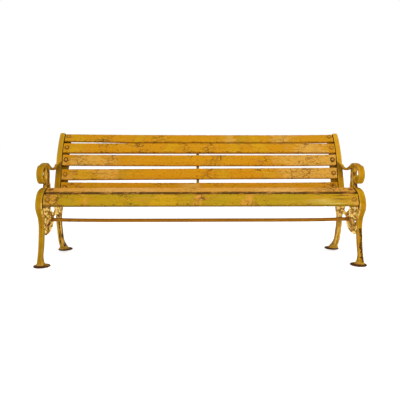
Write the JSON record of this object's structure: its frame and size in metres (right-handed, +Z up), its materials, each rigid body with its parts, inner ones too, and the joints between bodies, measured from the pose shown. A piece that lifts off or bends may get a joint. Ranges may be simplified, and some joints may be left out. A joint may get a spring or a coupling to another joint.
{
  "type": "park bench",
  "caption": "Long park bench with scrolled cast-iron ends, wood seat and back slats bolted to inner ledges, a tie rod between the ends and a strap behind the slats.",
  "frame": {"origin": "floor level under the middle of the overall box", "axes": "+X along the length to the sitter's left-hand end seen from the front as right, +Y to the back of the bench, +Z up; the front faces -Y"},
  "size_m": [2.04, 0.7522, 0.8331],
  "materials": {
    "frame_iron": "old mustard paint, chipped to rusty iron at the edges and feet",
    "slat_wood": "flaking mustard paint over old orange paint and grey wood",
    "bolt_steel": "painted over, rust round the heads",
    "nut_steel": "painted over and rusty",
    "strap_steel": "painted over, rusty edges",
    "rod_steel": "worn brown-orange paint with black chips"
  },
  "bodies": {
    "root": {"back_slat_1": "slat_wood", "back_slat_2": "slat_wood", "back_slat_3": "slat_wood", "back_slat_4": "slat_wood", "back_slat_5": "slat_wood", "bolt_left_back_slat_1": "bolt_steel", "bolt_left_back_slat_2": "bolt_steel", "bolt_left_back_slat_3": "bolt_steel", "bolt_left_back_slat_4": "bolt_steel", "bolt_left_back_slat_5": "bolt_steel", "bolt_left_seat_slat_1_nosing": "bolt_steel", "bolt_left_seat_slat_2": "bolt_steel", "bolt_left_seat_slat_3": "bolt_steel", "bolt_left_seat_slat_4": "bolt_steel", "bolt_left_seat_slat_5": "bolt_steel", "bolt_right_back_slat_1": "bolt_steel", "bolt_right_back_slat_2": "bolt_steel", "bolt_right_back_slat_3": "bolt_steel", "bolt_right_back_slat_4": "bolt_steel", "bolt_right_back_slat_5": "bolt_steel", "bolt_right_seat_slat_1_nosing": "bolt_steel", "bolt_right_seat_slat_2": "bolt_steel", "bolt_right_seat_slat_3": "bolt_steel", "bolt_right_seat_slat_4": "bolt_steel", "bolt_right_seat_slat_5": "bolt_steel", "centre_strap": "strap_steel", "end_frame_left": "frame_iron", "end_frame_right": "frame_iron", "nut_left_back_slat_1": "nut_steel", "nut_left_back_slat_2": "nut_steel", "nut_left_back_slat_3": "nut_steel", "nut_left_back_slat_4": "nut_steel", "nut_left_back_slat_5": "nut_steel", "nut_left_seat_slat_1_nosing": "nut_steel", "nut_left_seat_slat_2": "nut_steel", "nut_left_seat_slat_3": "nut_steel", "nut_left_seat_slat_4": "nut_steel", "nut_left_seat_slat_5": "nut_steel", "nut_right_back_slat_1": "nut_steel", "nut_right_back_slat_2": "nut_steel", "nut_right_back_slat_3": "nut_steel", "nut_right_back_slat_4": "nut_steel", "nut_right_back_slat_5": "nut_steel", "nut_right_seat_slat_1_nosing": "nut_steel", "nut_right_seat_slat_2": "nut_steel", "nut_right_seat_slat_3": "nut_steel", "nut_right_seat_slat_4": "nut_steel", "nut_right_seat_slat_5": "nut_steel", "rod_nut_left": "nut_steel", "rod_nut_right": "nut_steel", "rod_washer_left": "nut_steel", "rod_washer_right": "nut_steel", "seat_slat_1_nosing": "slat_wood", "seat_slat_2": "slat_wood", "seat_slat_3": "slat_wood", "seat_slat_4": "slat_wood", "seat_slat_5": "slat_wood", "tie_rod": "rod_steel"}
  },
  "joints": []
}
